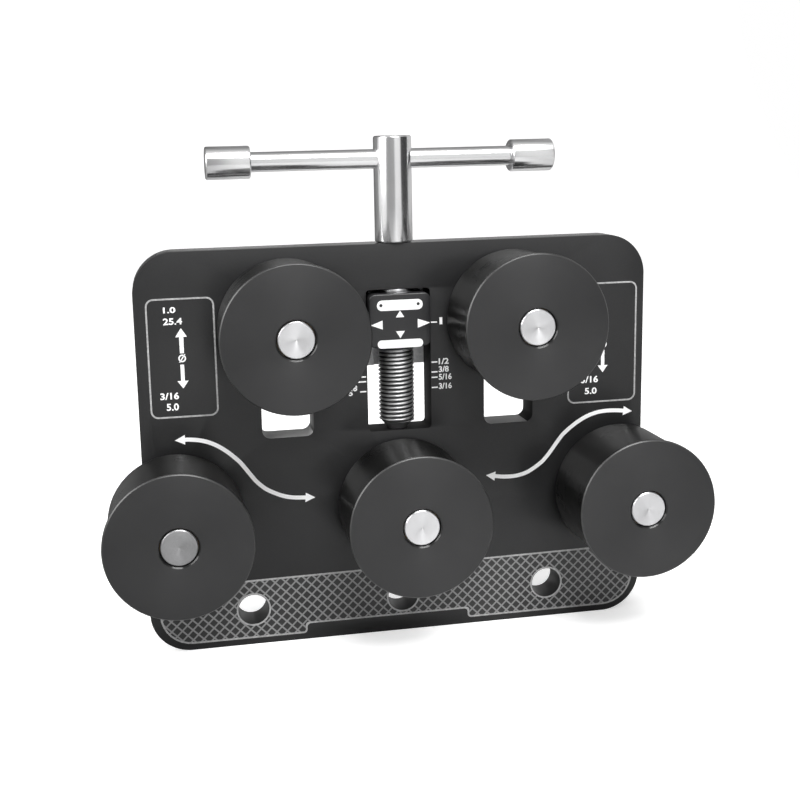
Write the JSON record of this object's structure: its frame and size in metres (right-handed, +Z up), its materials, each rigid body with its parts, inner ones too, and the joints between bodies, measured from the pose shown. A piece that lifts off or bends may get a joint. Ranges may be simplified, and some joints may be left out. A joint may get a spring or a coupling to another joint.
{
  "type": "tube straightener",
  "caption": "Bench tube straightener: an upright black plate with a fixed lower row of rollers and an upper pair on a carriage that a T-handled screw lowers.",
  "frame": {"origin": "centre of the middle mounting hole on the plate's rear face", "axes": "+Z up the plate, -Y out of the roller side, +X to the right seen from the roller side"},
  "size_m": [0.1826, 0.061, 0.1559],
  "materials": {
    "black_plate": "black anodised, satin, with light engraved marks",
    "black_roller": "black anodised, fine turned",
    "black_block": "blackened",
    "black_screw": "black oxide",
    "satin_bar": "ground, satin",
    "bronze": "oiled bearing bronze",
    "screw_steel": "rolled thread, oiled",
    "bright_steel": "turned, bright",
    "polished_steel": "polished",
    "zinc_steel": "zinc plated"
  },
  "bodies": {
    "base": {"plate": "black_plate", "travel_stop": "black_plate", "stop_screws": "black_screw", "axle_lower_left": "bright_steel", "axle_lower_middle": "bright_steel", "axle_lower_right": "bright_steel", "spacer_lower_left": "bright_steel", "spacer_lower_middle": "bright_steel", "spacer_lower_right": "bright_steel", "lower_washers": "zinc_steel", "lower_nuts": "zinc_steel"},
    "carriage": {"carriage_bar": "satin_bar", "nut_block": "black_block", "block_screws": "black_screw", "slide_shoe_left": "bronze", "slide_shoe_right": "bronze", "axle_upper_left": "bright_steel", "axle_upper_right": "bright_steel", "collar_upper_left": "bright_steel", "collar_upper_right": "bright_steel", "upper_washers": "zinc_steel", "upper_nuts": "zinc_steel"},
    "screw": {"adjusting_screw": "screw_steel", "thrust_washer": "bright_steel", "handle_post": "polished_steel", "set_screw": "black_screw"},
    "handle_bar": {"sliding_bar": "polished_steel", "knob_left": "polished_steel", "knob_right": "polished_steel"},
    "lower_left_roller": {"roller_lower_left": "black_roller", "bush_lower_left": "bronze"},
    "lower_middle_roller": {"roller_lower_middle": "black_roller", "bush_lower_middle": "bronze"},
    "lower_right_roller": {"roller_lower_right": "black_roller", "bush_lower_right": "bronze"},
    "upper_left_roller": {"roller_upper_left": "black_roller", "bush_upper_left": "bronze"},
    "upper_right_roller": {"roller_upper_right": "black_roller", "bush_upper_right": "bronze"}
  },
  "joints": [
    {"name": "screw_turn", "type": "hinge", "parent": "base", "child": "screw", "pos_m": [0, -0.00476, 0.1], "axis": [0, 0, 1], "range_deg": [0, 5850]},
    {"name": "carriage_slide", "type": "slide", "parent": "base", "child": "carriage", "axis": [0, 0, -1], "range_m": [0, 0.02064]},
    {"name": "bar_slide", "type": "slide", "parent": "screw", "child": "handle_bar", "axis": [1, 0, 0], "range_m": [-0.0307, 0.0371]},
    {"name": "lower_left_spin", "type": "hinge", "parent": "base", "child": "lower_left_roller", "pos_m": [-0.06985, -0.0254, 0.032], "axis": [0, 1, 0], "continuous": true},
    {"name": "lower_middle_spin", "type": "hinge", "parent": "base", "child": "lower_middle_roller", "pos_m": [0, -0.0254, 0.032], "axis": [0, 1, 0], "continuous": true},
    {"name": "lower_right_spin", "type": "hinge", "parent": "base", "child": "lower_right_roller", "pos_m": [0.06985, -0.0254, 0.032], "axis": [0, 1, 0], "continuous": true},
    {"name": "upper_left_spin", "type": "hinge", "parent": "carriage", "child": "upper_left_roller", "pos_m": [-0.03492, -0.0254, 0.08915], "axis": [0, 1, 0], "continuous": true},
    {"name": "upper_right_spin", "type": "hinge", "parent": "carriage", "child": "upper_right_roller", "pos_m": [0.03492, -0.0254, 0.08915], "axis": [0, 1, 0], "continuous": true}
  ],
  "couplings": [
    {"joint": "carriage_slide", "follows": "screw_turn", "m_per_rad": 0.00020213}
  ]
}
